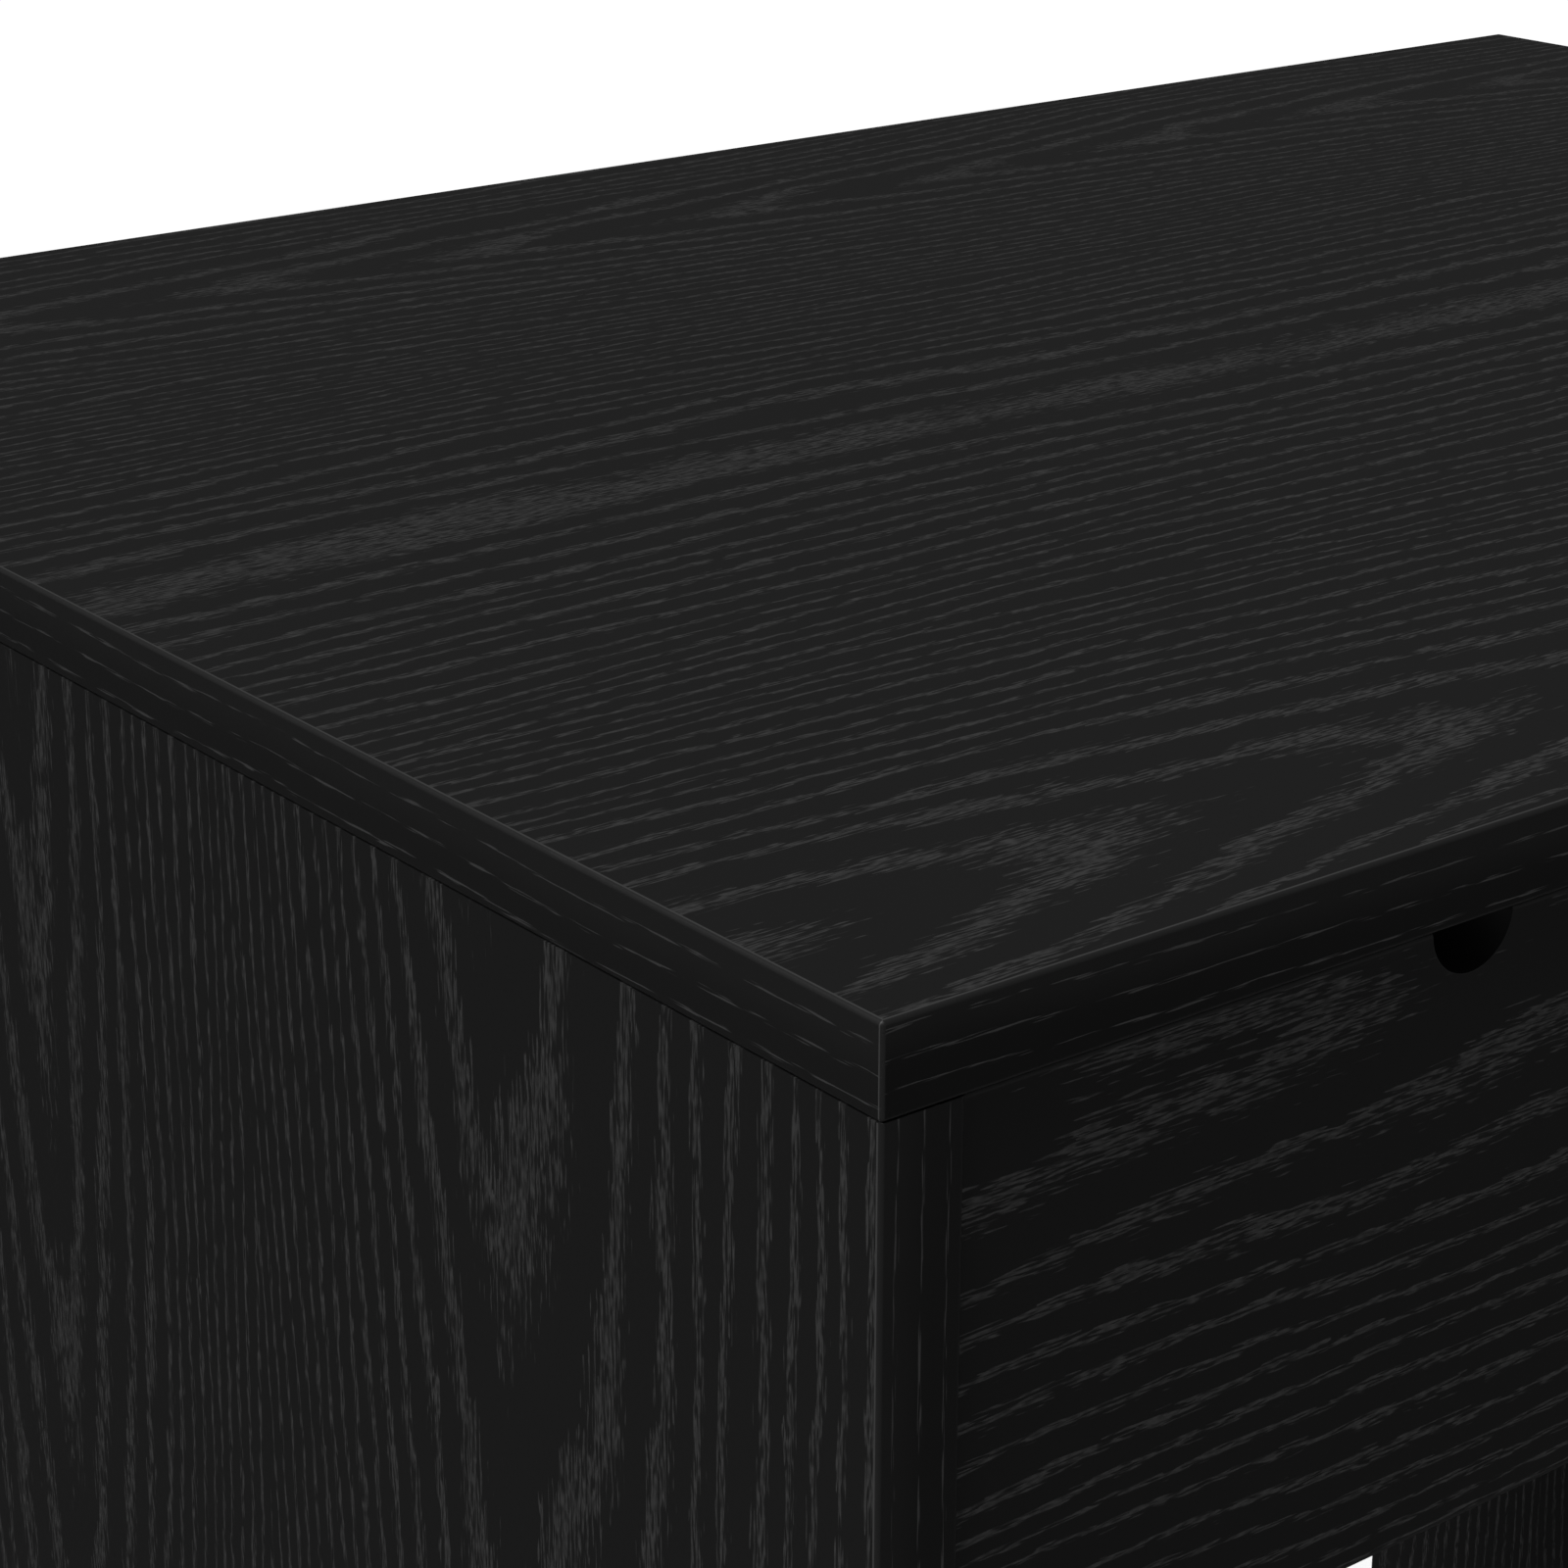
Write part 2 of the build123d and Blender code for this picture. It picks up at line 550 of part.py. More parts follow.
os.makedirs("parts", exist_ok=True)
wall_holes = []
wall_screws = []
for bay_number, drawer_name in enumerate(DRAWER_NAMES):
    found_holes, found_screws = build_drawer(drawer_name, bay_number)
    wall_holes += found_holes
    wall_screws += found_screws
write("outer_slide_screws", wall_screws)
build_carcass(wall_holes)
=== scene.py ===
import bpy
import math
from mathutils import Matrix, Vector


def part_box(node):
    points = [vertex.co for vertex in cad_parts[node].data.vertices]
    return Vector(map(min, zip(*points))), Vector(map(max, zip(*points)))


# Looks of the black oak dresser: studio, camera and one procedural material for each kind of surface.
# Everything is in metres in the frame's axes: +X right, +Y back, +Z up. The grain is worked out in
# millimetres, from the surface's own place in the frame.

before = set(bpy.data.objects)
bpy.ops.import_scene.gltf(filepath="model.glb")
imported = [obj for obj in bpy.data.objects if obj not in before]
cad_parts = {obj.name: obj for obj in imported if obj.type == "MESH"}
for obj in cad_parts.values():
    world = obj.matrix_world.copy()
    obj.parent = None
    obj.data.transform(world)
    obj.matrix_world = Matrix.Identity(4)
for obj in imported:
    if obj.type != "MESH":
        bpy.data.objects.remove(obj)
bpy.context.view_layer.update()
MM = 0.001

# ---- places taken from the frame ----------------------------------------------------------------
TOP_LOW, TOP_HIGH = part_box("top_edge_bands")
FRONT_LOW, FRONT_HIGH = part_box("left_drawer_front")
BOARD = TOP_HIGH.z - TOP_LOW.z
NOTCH_RADIUS = 9.0  # mm
NOTCH_MARGIN = 0.08  # mm; takes in the flat facets of the notch's wall
CORNER = Vector((TOP_LOW.x, TOP_LOW.y, TOP_HIGH.z))  # the top's left front corner

# ---- studio -------------------------------------------------------------------------------------
CAMERA_FROM_CORNER = Vector((-0.2920, -0.3558, 0.2069))
CAMERA_YAW = math.radians(37.75)  # from +Y towards +X
CAMERA_PITCH = math.radians(20.6)  # down
CAMERA_LENS = 86.9  # mm, on a sensor 36 mm wide
FLOOR_SIZE = 60.0
FLOOR_COLOUR = (0.85, 0.85, 0.85, 1.0)
SUN_STRENGTH = 3.75
SUN_ANGLE = math.radians(50)
SUN_TILT_LEFT = math.radians(25)
SUN_TILT_BACK = math.radians(5)
ROOM_LIGHT = 0.15
ROOM_REFLECTION = 0.06  # dimmer, as dark things stand round a piece in a studio
BACKDROP = 1.0  # pure white where the camera looks past the floor


def add_camera():
    """A plain camera that looks down on the left front corner, with no shift or depth of field."""
    data = bpy.data.cameras.new("camera")
    data.lens = CAMERA_LENS
    data.sensor_width = 36.0
    data.clip_start = 0.01
    data.clip_end = 200.0
    camera = bpy.data.objects.new("camera", data)
    camera.location = CORNER + CAMERA_FROM_CORNER
    camera.rotation_euler = (math.pi / 2 - CAMERA_PITCH, 0.0, -CAMERA_YAW)
    bpy.context.scene.collection.objects.link(camera)
    bpy.context.scene.camera = camera


def add_floor():
    """A plain pale floor, large enough to fill every view down to the horizon."""
    mesh = bpy.data.meshes.new("floor")
    half = FLOOR_SIZE / 2
    corners = [(-half, -half, 0), (half, -half, 0), (half, half, 0), (-half, half, 0)]
    mesh.from_pydata(corners, [], [(0, 1, 2, 3)])
    floor = bpy.data.objects.new("floor", mesh)
    bpy.context.scene.collection.objects.link(floor)
    material = bpy.data.materials.new("floor")
    material.use_nodes = True
    shader = material.node_tree.nodes["Principled BSDF"]
    shader.inputs["Base Color"].default_value = FLOOR_COLOUR
    shader.inputs["Roughness"].default_value = 1.0
    shader.inputs["Specular IOR Level"].default_value = 0.0
    mesh.materials.append(material)
    floor.visible_glossy = False


def add_light():
    """A soft overhead light, from the left and slightly from behind, in an even room."""
    data = bpy.data.lights.new("overhead", "SUN")
    data.energy = SUN_STRENGTH
    data.angle = SUN_ANGLE
    light = bpy.data.objects.new("overhead", data)
    light.rotation_euler = (-SUN_TILT_BACK, -SUN_TILT_LEFT, 0.0)
    bpy.context.scene.collection.objects.link(light)

    world = bpy.data.worlds.new("room")
    bpy.context.scene.world = world
    world.use_nodes = True
    nodes = world.node_tree.nodes
    links = world.node_tree.links
    nodes.clear()
    path = nodes.new("ShaderNodeLightPath")
    shader = None
    rooms = ((ROOM_LIGHT, None), (ROOM_REFLECTION, "Is Glossy Ray"), (BACKDROP, "Is Camera Ray"))
    for strength, ray in rooms:
        background = nodes.new("ShaderNodeBackground")
        background.inputs["Strength"].default_value = strength
        background.inputs["Color"].default_value = (1.0, 1.0, 1.0, 1.0)
        if ray is None:
            shader = background.outputs["Background"]
            continue
        choice = nodes.new("ShaderNodeMixShader")
        links.new(path.outputs[ray], choice.inputs["Fac"])
        links.new(shader, choice.inputs[1])
        links.new(background.outputs["Background"], choice.inputs[2])
        shader = choice.outputs["Shader"]
    output = nodes.new("ShaderNodeOutputWorld")
    links.new(shader, output.inputs["Surface"])


# ---- material building --------------------------------------------------------------------------
NOISE_SPAN = 0.3


class Surface:
    """A material with one Principled shader, and short calls that add nodes in front of it."""

    def __init__(self, name, roughness, specular=0.5, metallic=0.0):
        self.material = bpy.data.materials.new(name)
        self.material.use_nodes = True
        self.nodes = self.material.node_tree.nodes
        self.links = self.material.node_tree.links
        self.shader = self.nodes["Principled BSDF"]
        self.shader.inputs["Roughness"].default_value = roughness
        self.shader.inputs["Specular IOR Level"].default_value = specular
        self.shader.inputs["Metallic"].default_value = metallic
        coordinates = self.nodes.new("ShaderNodeTexCoord")
        self.place = self.scaled(coordinates.outputs["Object"], 1 / MM)
        self.normal = coordinates.outputs["Normal"]

    def feed(self, socket, value):
        if isinstance(value, bpy.types.NodeSocket):
            self.links.new(value, socket)
        else:
            socket.default_value = value

    def math(self, operation, a, b=0.0, c=0.0):
        node = self.nodes.new("ShaderNodeMath")
        node.operation = operation
        self.feed(node.inputs[0], a)
        self.feed(node.inputs[1], b)
        self.feed(node.inputs[2], c)
        return node.outputs[0]

    def smooth(self, value, low, high):
        """0 below low, 1 above high, and smooth between them."""
        node = self.nodes.new("ShaderNodeMapRange")
        node.interpolation_type = "SMOOTHSTEP"
        self.feed(node.inputs["Value"], value)
        self.feed(node.inputs["From Min"], low)
        self.feed(node.inputs["From Max"], high)
        return node.outputs["Result"]

    def scaled(self, vector, factor):
        node = self.nodes.new("ShaderNodeVectorMath")
        node.operation = "SCALE"
        self.links.new(vector, node.inputs[0])
        node.inputs["Scale"].default_value = factor
        return node.outputs[0]

    def parts(self, vector):
        node = self.nodes.new("ShaderNodeSeparateXYZ")
        self.links.new(vector, node.inputs[0])
        return node.outputs

    def point(self, x, y, z=0.0):
        node = self.nodes.new("ShaderNodeCombineXYZ")
        for socket, value in zip(node.inputs, (x, y, z)):
            self.feed(socket, value)
        return node.outputs[0]

    def noise(self, vector, detail, roughness=0.5):
        """Smooth noise about 0, mostly from -0.3 to 0.3."""
        node = self.nodes.new("ShaderNodeTexNoise")
        self.links.new(vector, node.inputs["Vector"])
        node.inputs["Scale"].default_value = 1.0
        node.inputs["Detail"].default_value = detail
        node.inputs["Roughness"].default_value = roughness
        return self.math("SUBTRACT", node.outputs["Fac"], 0.5)

    def spots(self, size, detail, roughness=0.5):
        """Noise in even spots of a size in millimetres."""
        return self.noise(self.scaled(self.place, 1 / size), detail, roughness)

    def grain_noise(self, along, across, streak, seed, detail=1.0):
        """Noise about 0 in streaks of a given length and width in millimetres."""
        length, width = streak
        node = self.nodes.new("ShaderNodeTexNoise")
        node.noise_dimensions = "2D"
        u = self.math("MULTIPLY_ADD", along, 1 / length, seed)
        v = self.math("MULTIPLY_ADD", across, 1 / width, -seed)
        self.links.new(self.point(u, v), node.inputs["Vector"])
        node.inputs["Scale"].default_value = 1.0
        node.inputs["Detail"].default_value = detail
        return self.math("SUBTRACT", node.outputs["Fac"], 0.5)

    def blend(self, factor, low, high):
        """A number between low and high."""
        node = self.nodes.new("ShaderNodeMix")
        node.data_type = "FLOAT"
        self.feed(node.inputs["Factor"], factor)
        self.feed(node.inputs[2], low)
        self.feed(node.inputs[3], high)
        return node.outputs[0]

    def tint(self, factor, low, high):
        """A colour between low and high."""
        node = self.nodes.new("ShaderNodeMix")
        node.data_type = "RGBA"
        self.feed(node.inputs["Factor"], factor)
        self.feed(node.inputs[6], low)
        self.feed(node.inputs[7], high)
        return node.outputs[2]

    def shade(self, noise, dark, light):
        """A colour from dark to light over the usual span of a noise."""
        return self.tint(self.smooth(noise, -NOISE_SPAN, NOISE_SPAN), dark, light)

    def vary(self, middle, noise, amount):
        """A number that a noise moves to both sides of its middle."""
        return self.math("MULTIPLY_ADD", noise, amount, middle)

    def finish(self, colour, roughness, height, depth):
        """Connects the colour, the roughness and a bump whose depth is in millimetres."""
        self.feed(self.shader.inputs["Base Color"], colour)
        self.feed(self.shader.inputs["Roughness"], roughness)
        bump = self.nodes.new("ShaderNodeBump")
        bump.inputs["Distance"].default_value = depth * MM
        self.feed(bump.inputs["Height"], height)
        self.links.new(bump.outputs["Normal"], self.shader.inputs["Normal"])
        return self.material


def grey(value, warmth=0.0):
    """A linear grey, a little warmer with warmth above 0."""
    return (value * (1 + warmth), value, value * (1 - warmth), 1.0)


# ---- black oak ----------------------------------------------------------------------------------
OAK_DARK = 0.0083
OAK_PORE = 0.031
OAK_CLOUD = 0.07  # how far the dark tone drifts over a board
OAK_SPECULAR = 0.12
ROUNDING_WEAR_AND_HIGHLIGHT_TONE = 0.013  # the rounding along an edge band, lighter from wear and as a painted highlight
WEAR_AND_HIGHLIGHT_LINE_TONE = 0.036  # the thin line where a band meets its board: wear and a painted highlight
NOTCH_TONE_AND_PAINTED_LIGHT = (0.014, 0.032)  # the wall of a finger notch at its lip and at its back: a plain edge colour, lighter towards the back as painted light where the wall lies in shade
AXES = {"x": 0, "y": 1, "z": 2}

# Streaks of the growth rings: length along the grain and width across it, in millimetres.
WANDER_STREAK = (260.0, 900.0)  # the axis bends to and fro
WANDER = 16.0  # mm
SWELL_STREAK = (900.0, 80.0)  # the rings lie wider in some stripes of the board
SWELL = 10.0  # mm
UNEVEN_STREAK = (150.0, 24.0)  # some rings are thicker than others
UNEVEN = (0.2, 3.0)  # rings, over the axis and where the lines run close
WAVE_STREAK = (34.0, 10.0)
WAVE = 0.36  # rings
POINTED = 6.0  # mm; makes the cathedrals end in a point
LEAST_DEPTH = 6.0  # mm; the axis never comes closer to the face

# Streaks of the pores, in millimetres. Pairs hold the values over the axis and where lines run close.
STRAND_STREAK = (5.0, 0.44)  # one pore
RAGGED_STREAK = (11.0, 0.6)  # the ends of the bands
RAGGED = (0.50, 0.22)  # rings
THICK_STREAK = (90.0, 6.0)  # thicker and thinner stretches of one band
THICK = 0.5  # rings
BAND_START = 0.10  # the part of a ring where its pores begin to thin out
BAND_END = (0.84, 0.41)  # the part of a ring where they are gone
NO_PORES = 0.42  # a height that no strand reaches
DENSE_PORES = (-0.15, -0.17)  # a height that most strands pass
STRAND_EDGE = 0.17
PATCH_STREAK = (23.0, 1.6)  # brighter and dimmer stretches
PATCH = 0.6
GRIT_STREAK = (1.8, 0.5)  # the worn skin of each pore
GRIT = 1.1
PORE_STRENGTH = 0.73

# The skin of the laminate
PEEL_SIZE = 0.7  # mm
PEEL = 0.12
PORE_ROUGHNESS = 0.14  # above the roughness of the face
BOARD_ROUGHNESS = 0.44
BAND_ROUGHNESS = 0.4
BOARD_RELIEF = 0.05  # mm
BAND_RELIEF = 0.04  # mm
CLOUD_SIZE = 130.0  # mm

# The printed lines of the edge bands. Streaks are in millimetres, places in widths of the band.
BEND_STREAK = (95.0, 400.0)  # all lines of a band bend together
BEND = 1.7  # lines
TREMOR_STREAK = (8.0, 3.0)
TREMOR = 0.10  # lines
LINES = 3.2  # across one band
FIRST_LINE = 0.225
LINE_FADE = (0.03, 0.30)  # the part of each line's pitch where it thins out
DASH_STREAK = (9.0, 0.34)
NO_DASHES = 0.40
DENSE_DASHES = -0.02
DASH_EDGE = 0.10
# Painted shade across the edge bands: each band darker away from its first edge
PAINTED_SHADE_BEND = 0.5
PAINTED_SHADE_SPAN = (0.15, 0.72)  # where the painted shade sets in across a band
SIDE_PAINTED_SHADE = 0.6  # the painted shade of a band that faces sideways, against one that faces the front
BAND_TONE = 1.12  # against the boards' dark tone
STRIP_TURN = (0.06, 0.4)  # how far a rounding turns away where its tone sets in
RIM_TURN = (0.965, 0.995)  # the upper end of a rounding
CORNER_TURN = (0.25, 0.12)  # middle and half width of the line down an upright corner


def growth_rings(surface, along, across, seed, axis_at, period, ring, depth, taper, turn, ease):
    """Counts the growth rings of a flat-sawn board, and says how close together they run.

    The rings are cones round an axis under the face, so they cut it in pointed cathedrals over the
    axis and in straight lines beside it. axis_at is the axis's place across the grain, and there is
    one every period millimetres. It lies depth below the face at along = 0. It sinks by taper,
    which changes sign turn behind axis_at. In front of axis_at the rings spread by 1 / ease.
    The second value is 0 over the axis and near 1 where the lines run close."""
    wander = surface.grain_noise(along, across, WANDER_STREAK, seed, 0.0)
    axis = surface.math("MULTIPLY_ADD", wander, WANDER, axis_at)
    swell = surface.grain_noise(along, across, SWELL_STREAK, seed + 7.0, 0.0)
    behind = surface.math("SUBTRACT", across, axis)
    eased = surface.math("MAXIMUM", behind, surface.math("MULTIPLY", behind, ease))
    from_axis = surface.math("MULTIPLY_ADD", swell, SWELL, eased)
    from_axis = surface.math("ADD", surface.math("PINGPONG", from_axis, period / 2), POINTED)
    sinking = taper
    if turn is not None:
        sinking = surface.math("MULTIPLY_ADD", behind, -taper / turn, taper)
    below = surface.math("MULTIPLY_ADD", along, sinking, depth)
    below = surface.math("MAXIMUM", below, LEAST_DEPTH)
    squares = surface.math("MULTIPLY", below, below)
    radius = surface.math("SQRT", surface.math("MULTIPLY_ADD", from_axis, from_axis, squares))
    uneven = surface.grain_noise(along, across, UNEVEN_STREAK, seed + 2.0)
    wave = surface.grain_noise(along, across, WAVE_STREAK, seed + 4.0)
    closeness = surface.math("DIVIDE", from_axis, radius)
    most = surface.blend(closeness, *UNEVEN)
    count = surface.math("MULTIPLY_ADD", uneven, most, surface.math("DIVIDE", radius, ring))
    count = surface.math("MULTIPLY_ADD", wave, WAVE, count)
    return count, closeness


def pore_bands(surface, along, across, count, closeness, seed):
    """The light pores of oak: fine strands along the grain, thick at the start of each ring and
    thinning out across it, so that the bands have ragged ends."""
    strands = surface.grain_noise(along, across, STRAND_STREAK, seed + 11.0)
    ragged = surface.grain_noise(along, across, RAGGED_STREAK, seed + 13.0, 0.0)
    jitter = surface.blend(closeness, *RAGGED)
    phase = surface.math("FRACT", surface.math("MULTIPLY_ADD", ragged, jitter, count))
    thick = surface.grain_noise(along, across, THICK_STREAK, seed + 19.0)
    end = surface.math("MULTIPLY_ADD", thick, THICK, surface.blend(closeness, *BAND_END))
    porous = surface.math("SUBTRACT", 1.0, surface.smooth(phase, BAND_START, end))
    threshold = surface.blend(porous, NO_PORES, surface.blend(closeness, *DENSE_PORES))
    lit = surface.smooth(strands, threshold, surface.math("ADD", threshold, STRAND_EDGE))
    patches = surface.grain_noise(along, across, PATCH_STREAK, seed + 17.0)
    grit = surface.grain_noise(along, across, GRIT_STREAK, seed + 23.0, 0.0)
    strength = surface.math("MULTIPLY_ADD", patches, PATCH, PORE_STRENGTH)
    strength = surface.math("MULTIPLY_ADD", grit, GRIT, strength)
    return surface.math("MULTIPLY", lit, strength)


def satin(surface, pore, base_roughness):
    """Roughness and height of the embossed laminate: a fine orange peel with sunken pores."""
    peel = surface.spots(PEEL_SIZE, 2.0)
    roughness = surface.blend(pore, base_roughness, base_roughness + PORE_ROUGHNESS)
    roughness = surface.math("MULTIPLY_ADD", peel, PEEL, roughness)
    sunken = surface.math("MULTIPLY", pore, -1.0)
    return roughness, surface.math("MULTIPLY_ADD", peel, PEEL, sunken)


def oak_board(name, along, across, seed, start, axis_at, period=156.0, ring=2.4, depth=84.4,
              taper=0.028, turn=None, ease=1.0, direction=1.0, notches=None):
    """Black oak laminate on a board whose grain runs along one axis of the frame. The distance
    along the grain counts from start, in the direction that the cathedrals point."""
    surface = Surface(name, roughness=BOARD_ROUGHNESS, specular=OAK_SPECULAR)
    place = surface.parts(surface.place)
    u = surface.math("MULTIPLY_ADD", place[AXES[along]], direction, -direction * start)
    v = place[AXES[across]]
    count, closeness = growth_rings(
        surface, u, v, seed, axis_at, period, ring, depth, taper, turn, ease
    )
    pore = pore_bands(surface, u, v, count, closeness, seed)
    tone = surface.math("ADD", surface.spots(CLOUD_SIZE, 2.0), 0.5)
    base = surface.tint(tone, grey(OAK_DARK * (1 - OAK_CLOUD)), grey(OAK_DARK * (1 + OAK_CLOUD)))
    colour = surface.tint(pore, base, grey(OAK_PORE))
    if notches is not None:
        notch, inward = notch_wall(surface, *notches)
        # plain edge colour of the notch wall, lightened towards its back as painted light in place of
        # its shade
        wall_with_painted_light = surface.tint(inward, grey(NOTCH_TONE_AND_PAINTED_LIGHT[0]), grey(NOTCH_TONE_AND_PAINTED_LIGHT[1]))
        colour = surface.tint(notch, colour, wall_with_painted_light)
        pore = surface.math("MULTIPLY", pore, surface.math("SUBTRACT", 1.0, notch))
    roughness, height = satin(surface, pore, BOARD_ROUGHNESS)
    return surface.finish(colour, roughness, height, BOARD_RELIEF)


def notch_wall(surface, middle, pitch, top, radius):
    """1 on the walls of the finger notches, which repeat along X every pitch from middle, and how
    far in from the front face of a closed drawer, from 0 to 1."""
    x, y, z = surface.parts(surface.place)
    sideways = surface.math("PINGPONG", surface.math("SUBTRACT", x, middle), pitch / 2)
    down = surface.math("SUBTRACT", z, top)
    squares = surface.math("MULTIPLY", down, down)
    reach = surface.math("SQRT", surface.math("MULTIPLY_ADD", sideways, sideways, squares))
    inward = surface.math("MULTIPLY_ADD", y, MM / BOARD, -FRONT_LOW.y / BOARD)
    return surface.math("LESS_THAN", reach, radius + NOTCH_MARGIN), inward


def oak_band(name, node, thickness, seed, painted_shade_strength=0.4, wear_and_highlight_line_tone=WEAR_AND_HIGHLIGHT_LINE_TONE):
    """The printed grain of the edge bands round one board whose thickness lies along one axis. The
    lines run along each band, and a painted shade darkens each band from one edge to the other."""
    surface = Surface(name, roughness=BAND_ROUGHNESS, specular=OAK_SPECULAR)
    low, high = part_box(node)
    axis = AXES[thickness]
    place = surface.parts(surface.place)
    normal = [surface.math("ABSOLUTE", part) for part in surface.parts(surface.normal)]
    first, second = [AXES[letter] for letter in "xyz" if letter != thickness]
    faces_first = surface.math("GREATER_THAN", normal[first], normal[second])
    u = surface.blend(faces_first, place[first], place[second])
    v = place[axis]
    # 0 at the band's upper or left edge and 1 at the other
    start, sign = (high[axis], -1.0) if thickness == "z" else (low[axis], 1.0)
    across_band = surface.math("MULTIPLY_ADD", v, sign * MM / BOARD, -sign * start / BOARD)

    bend = surface.grain_noise(u, v, BEND_STREAK, seed)
    tremor = surface.grain_noise(u, v, TREMOR_STREAK, seed + 3.0)
    count = surface.math("MULTIPLY_ADD", across_band, LINES, -LINES * FIRST_LINE)
    count = surface.math("MULTIPLY_ADD", bend, BEND, count)
    count = surface.math("MULTIPLY_ADD", tremor, TREMOR, count)
    phase = surface.math("FRACT", count)
    dashes = surface.grain_noise(u, v, DASH_STREAK, seed + 5.0)
    near = surface.math("SUBTRACT", 1.0, surface.smooth(phase, *LINE_FADE))
    threshold = surface.blend(near, NO_DASHES, DENSE_DASHES)
    pore = surface.smooth(dashes, threshold, surface.math("ADD", threshold, DASH_EDGE))

    # painted shade: darkens the band's colour across its width
    painted_shade_at = surface.math("MULTIPLY_ADD", bend, PAINTED_SHADE_BEND, across_band)
    most = surface.blend(faces_first, painted_shade_strength, painted_shade_strength * SIDE_PAINTED_SHADE)
    shade = surface.math("MULTIPLY", surface.smooth(painted_shade_at, *PAINTED_SHADE_SPAN), most)
    base = surface.tint(shade, grey(OAK_DARK * BAND_TONE), grey(0.0))
    colour = surface.tint(pore, base, grey(OAK_PORE))
    # Wear and painted highlight: the bands' roundings and thin lines along them are lighter, where
    # light catches the edges
    across_corner = surface.math("MINIMUM", normal[first], normal[second])
    rounding_wear_and_highlight = surface.math("MAXIMUM", across_corner, normal[axis])
    colour = surface.tint(surface.smooth(rounding_wear_and_highlight, *STRIP_TURN), colour, grey(ROUNDING_WEAR_AND_HIGHLIGHT_TONE))
    rim_wear_and_highlight = surface.smooth(normal[axis], *RIM_TURN)
    upright_wear_and_highlight = surface.math("COMPARE", across_corner, *CORNER_TURN)
    wear_and_highlight_line = surface.math("MAXIMUM", rim_wear_and_highlight, surface.math("MULTIPLY", upright_wear_and_highlight, faces_first))
    colour = surface.tint(wear_and_highlight_line, colour, grey(wear_and_highlight_line_tone))
    roughness, height = satin(surface, pore, BAND_ROUGHNESS)
    return surface.finish(colour, roughness, height, BAND_RELIEF)


# ---- inside boards ------------------------------------------------------------------------------
def melamine():
    """Matt black melamine with a fine pearl texture."""
    surface = Surface("box_melamine", roughness=0.5, specular=0.3)
    pearl = surface.spots(size=0.9, detail=2.0, roughness=0.6)
    cloud = surface.spots(size=60.0, detail=2.0)
    colour = surface.tint(surface.vary(0.5, cloud, 0.5), grey(0.012), grey(0.017))
    return surface.finish(colour, surface.vary(0.5, pearl, 0.2), pearl, depth=0.12)


def hardboard():
    """Thin fibreboard with a black coat, and a faint felted surface."""
    surface = Surface("hardboard_coat", roughness=0.6, specular=0.25)
    x, y, z = surface.parts(surface.place)
    fibres_at = surface.point(surface.math("DIVIDE", x, 3.0), surface.math("DIVIDE", y, 1.1), z)
    fibres = surface.noise(fibres_at, 3.0, 0.7)
    colour = surface.shade(fibres, grey(0.011), grey(0.018))
    return surface.finish(colour, surface.vary(0.6, fibres, 0.25), fibres, depth=0.1)


def beech():
    """Raw beech of the dowels, with fine flecks along the grain."""
    surface = Surface("beech_dowel", roughness=0.6)
    flecks = surface.spots(size=1.2, detail=3.0, roughness=0.7)
    colour = surface.tint(
        surface.smooth(flecks, -0.2, 0.2), (0.42, 0.27, 0.15, 1.0), (0.62, 0.45, 0.28, 1.0)
    )
    return surface.finish(colour, surface.vary(0.6, flecks, 0.2), flecks, depth=0.1)


# ---- metals and plastics ------------------------------------------------------------------------
STEEL_METALLIC = 0.72  # the zinc coat scatters part of the light


def rolled_steel(name, light, dark, roughness):
    """Zinc-plated strip steel with rolling lines along its length and faint wear."""
    surface = Surface(name, roughness=roughness, metallic=STEEL_METALLIC)
    x, y, z = surface.parts(surface.place)
    lines_at = surface.point(
        surface.math("DIVIDE", x, 0.5), surface.math("DIVIDE", y, 70.0), surface.math("DIVIDE", z, 0.5)
    )
    lines = surface.noise(lines_at, 3.0, 0.6)
    spangle = surface.spots(size=8.0, detail=3.0, roughness=0.6)
    mixed = surface.math("MULTIPLY_ADD", spangle, 0.4, surface.math("MULTIPLY", lines, 0.7))
    colour = surface.tint(surface.smooth(mixed, -0.35, 0.35), dark, light)
    return surface.finish(colour, surface.vary(roughness, mixed, 0.14), lines, depth=0.03)


def cast_zinc():
    """Die-cast zinc with a soft grainy skin."""
    surface = Surface("cast_zinc", roughness=0.42, metallic=STEEL_METALLIC)
    grains = surface.spots(size=0.6, detail=3.0, roughness=0.6)
    stain = surface.spots(size=5.0, detail=2.0)
    colour = surface.shade(stain, grey(0.34), grey(0.5))
    return surface.finish(colour, surface.vary(0.42, grains, 0.3), grains, depth=0.08)


def plated_screw(name, light, dark):
    """Turned and plated steel with fine marks."""
    surface = Surface(name, roughness=0.35, metallic=STEEL_METALLIC)
    scratches = surface.spots(size=0.35, detail=3.0, roughness=0.7)
    stain = surface.spots(size=3.0, detail=2.0)
    colour = surface.shade(stain, dark, light)
    return surface.finish(colour, surface.vary(0.35, scratches, 0.3), scratches, depth=0.03)


def ball_steel():
    """Polished bearing steel under a thin film of grease."""
    surface = Surface("ball_steel", roughness=0.12, metallic=1.0)
    film = surface.spots(size=2.0, detail=2.0)
    colour = surface.shade(film, grey(0.62, 0.03), grey(0.75))
    return surface.finish(colour, surface.vary(0.14, film, 0.2), film, depth=0.01)


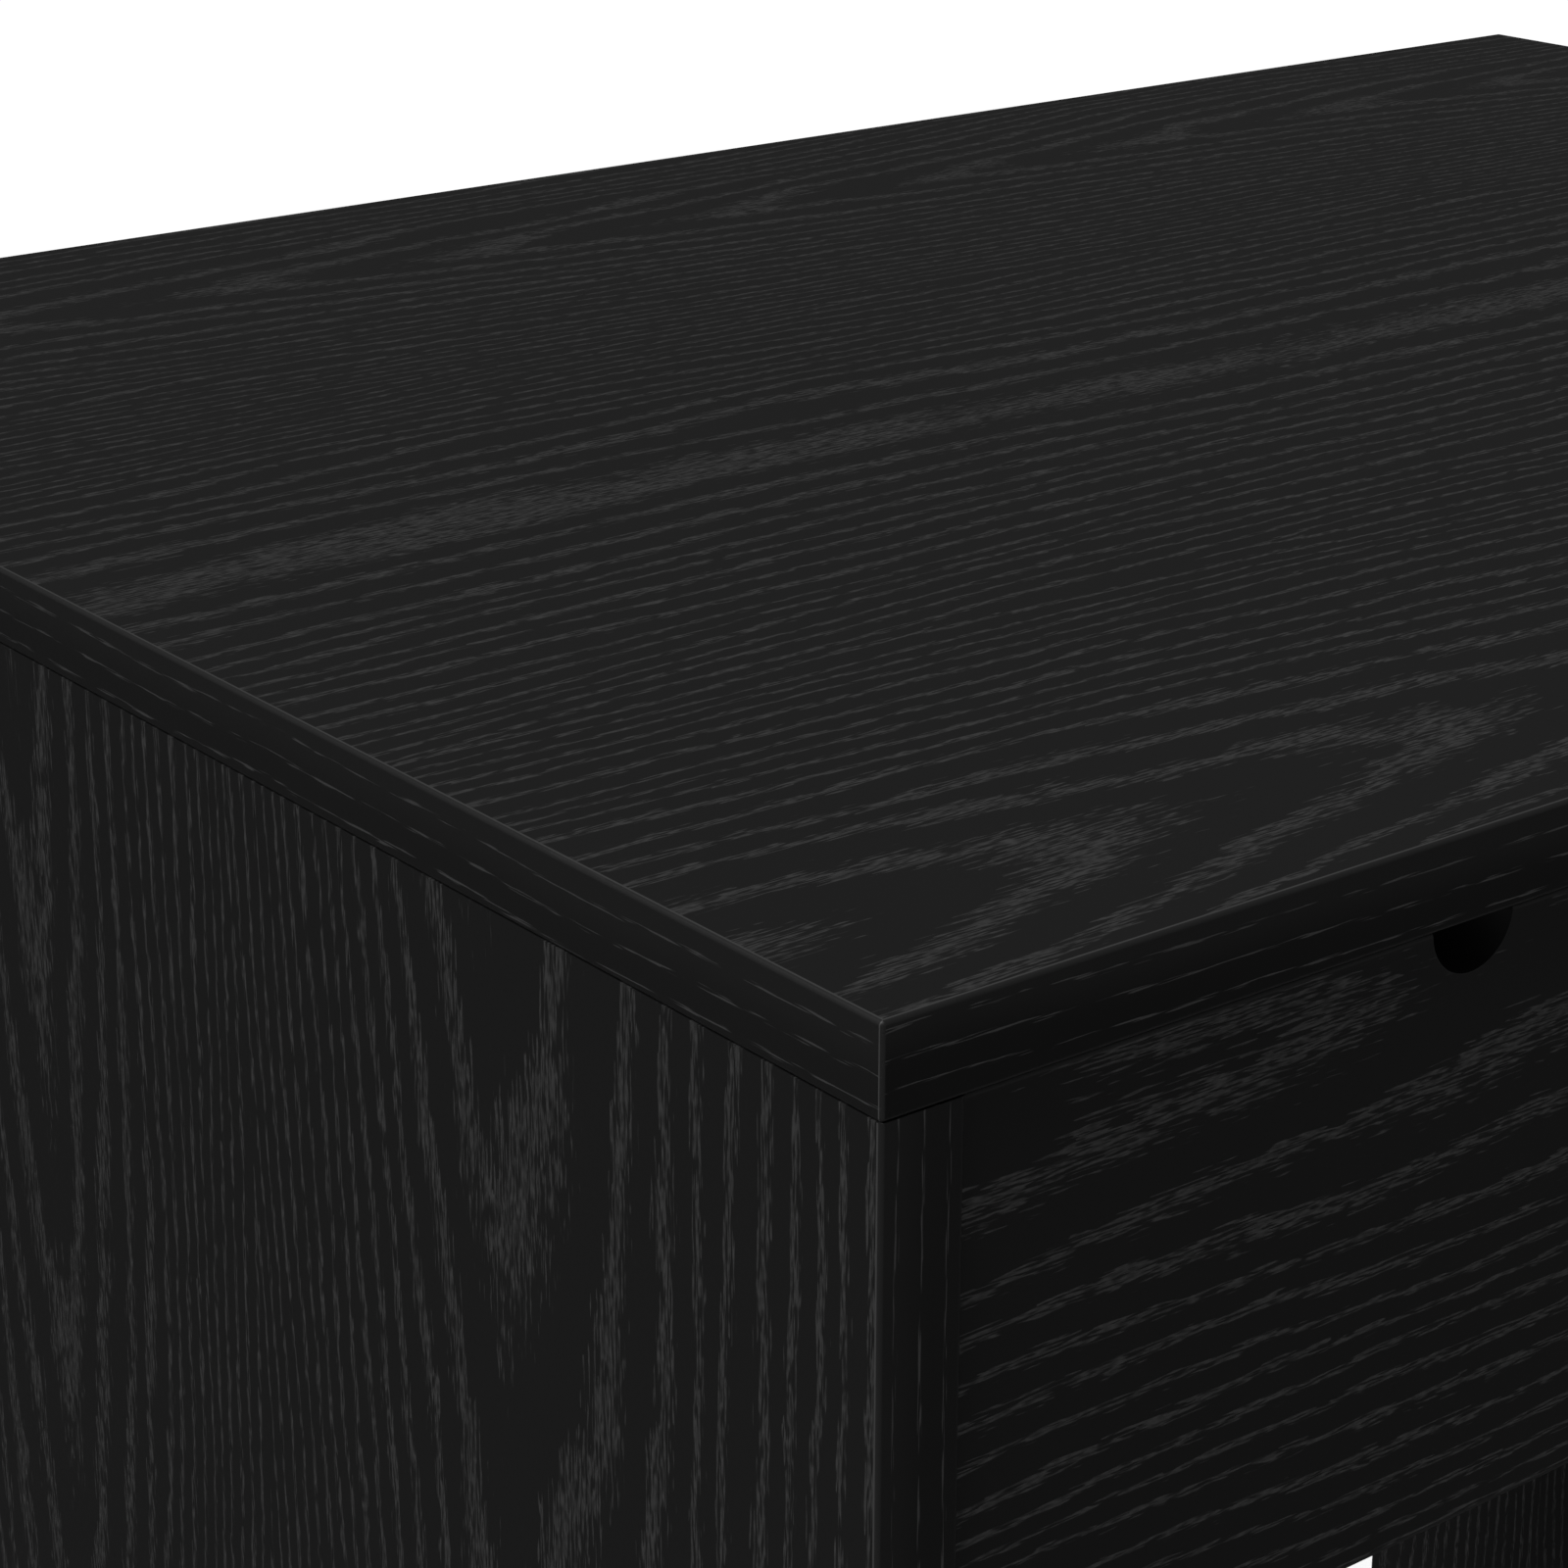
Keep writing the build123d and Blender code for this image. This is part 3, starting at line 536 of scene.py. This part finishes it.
def black_plastic(name, value, roughness):
    """Moulded plastic with a fine spark-eroded texture."""
    surface = Surface(name, roughness=roughness, specular=0.4)
    texture = surface.spots(size=0.5, detail=3.0, roughness=0.7)
    cloud = surface.spots(size=12.0, detail=2.0)
    colour = surface.shade(cloud, grey(value * 0.85), grey(value * 1.2))
    return surface.finish(colour, surface.vary(roughness, texture, 0.2), texture, depth=0.06)


# ---- dressing the nodes -------------------------------------------------------------------------
def put(material, *names):
    """Gives one material to whole CAD nodes."""
    for name in names:
        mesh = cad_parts[name].data
        mesh.materials.clear()
        mesh.materials.append(material)


DRAWERS = ("left", "middle", "right")


def of_drawers(*endings):
    return [f"{drawer}_{ending}" for drawer in DRAWERS for ending in endings]


def dress():
    left = TOP_LOW.x / MM
    front = TOP_LOW.y / MM
    top = TOP_HIGH.z / MM
    fronts_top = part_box("left_drawer_edge_bands")[1].z / MM
    pitch = (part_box("middle_drawer_front")[0].x - FRONT_LOW.x) / MM
    notches = ((FRONT_LOW.x + FRONT_HIGH.x) / 2 / MM, pitch, fronts_top, NOTCH_RADIUS)
    # The first axis of each board's cathedrals lies so many millimetres behind the front edge of
    # the dresser, or below the top or the fronts' upper edge. The next lie a period further on.
    put(oak_board("oak_top", "x", "y", 3.0, left, front + 27.0, period=199.0, ring=3.8, depth=76.4,
                  taper=0.052, turn=199.0), "top_panel")
    put(oak_board("oak_left_leg", "z", "y", 5.0, top, front + 99.0, ease=0.65, direction=-1.0),
        "left_side_panel")
    put(oak_board("oak_right_leg", "z", "y", 11.0, top, front + 150.0, period=180.0,
                  direction=-1.0), "right_side_panel")
    put(oak_board("oak_fronts", "x", "z", 17.0, left, fronts_top - 10.0, period=240.0, ring=3.6,
                  depth=77.4, notches=notches), *of_drawers("drawer_front"))
    put(oak_board("oak_deck", "x", "y", 23.0, left, front + 120.0, period=200.0, ring=3.0),
        "deck_panel")
    put(oak_board("oak_back", "x", "z", 29.0, left, top - 190.0, period=190.0, ring=3.2),
        "back_panel")
    put(oak_board("oak_partitions", "y", "z", 31.0, front, top - 60.0, ring=3.0),
        "left_partition", "right_partition")

    put(oak_band("band_top", "top_edge_bands", "z", 2.0), "top_edge_bands")
    put(oak_band("band_left_leg", "left_side_edge_bands", "x", 4.0), "left_side_edge_bands")
    put(oak_band("band_right_leg", "right_side_edge_bands", "x", 9.0), "right_side_edge_bands")
    put(oak_band("band_fronts", "left_drawer_edge_bands", "y", 6.0, wear_and_highlight_line_tone=ROUNDING_WEAR_AND_HIGHLIGHT_TONE),
        *of_drawers("drawer_edge_bands"))
    put(oak_band("band_inner", "deck_panel", "z", 8.0), "inner_edge_bands")

    put(melamine(), *of_drawers("drawer_left_side", "drawer_right_side", "drawer_back"))
    put(hardboard(), *of_drawers("drawer_bottom"))
    put(beech(), "dowels")
    put(cast_zinc(), "cam_discs", *of_drawers("drawer_cam_discs"))
    plated = plated_screw("zinc_plated", grey(0.62), grey(0.42))
    put(plated, "cam_bolts", "outer_slide_screws",
        *of_drawers("drawer_cam_bolts", "drawer_back_screws", "inner_slide_screws"))
    put(plated_screw("black_plated", grey(0.06), grey(0.03)), "connecting_screws")
    put(rolled_steel("slide_outer", grey(0.5), grey(0.34), 0.34), *of_drawers("outer_slides"))
    put(rolled_steel("slide_inner", grey(0.55), grey(0.38), 0.3), *of_drawers("inner_slides"))
    put(rolled_steel("cage_strip", grey(0.42), grey(0.3), 0.4), *of_drawers("ball_cages"))
    put(ball_steel(), *of_drawers("slide_balls"))
    put(black_plastic("cover_plastic", 0.014, 0.45), "cam_covers")
    put(black_plastic("glide_plastic", 0.02, 0.5), "foot_glides")


add_camera()
add_floor()
add_light()
dress()
bpy.context.scene.view_settings.view_transform = "Standard"
bpy.context.scene.view_settings.look = "None"
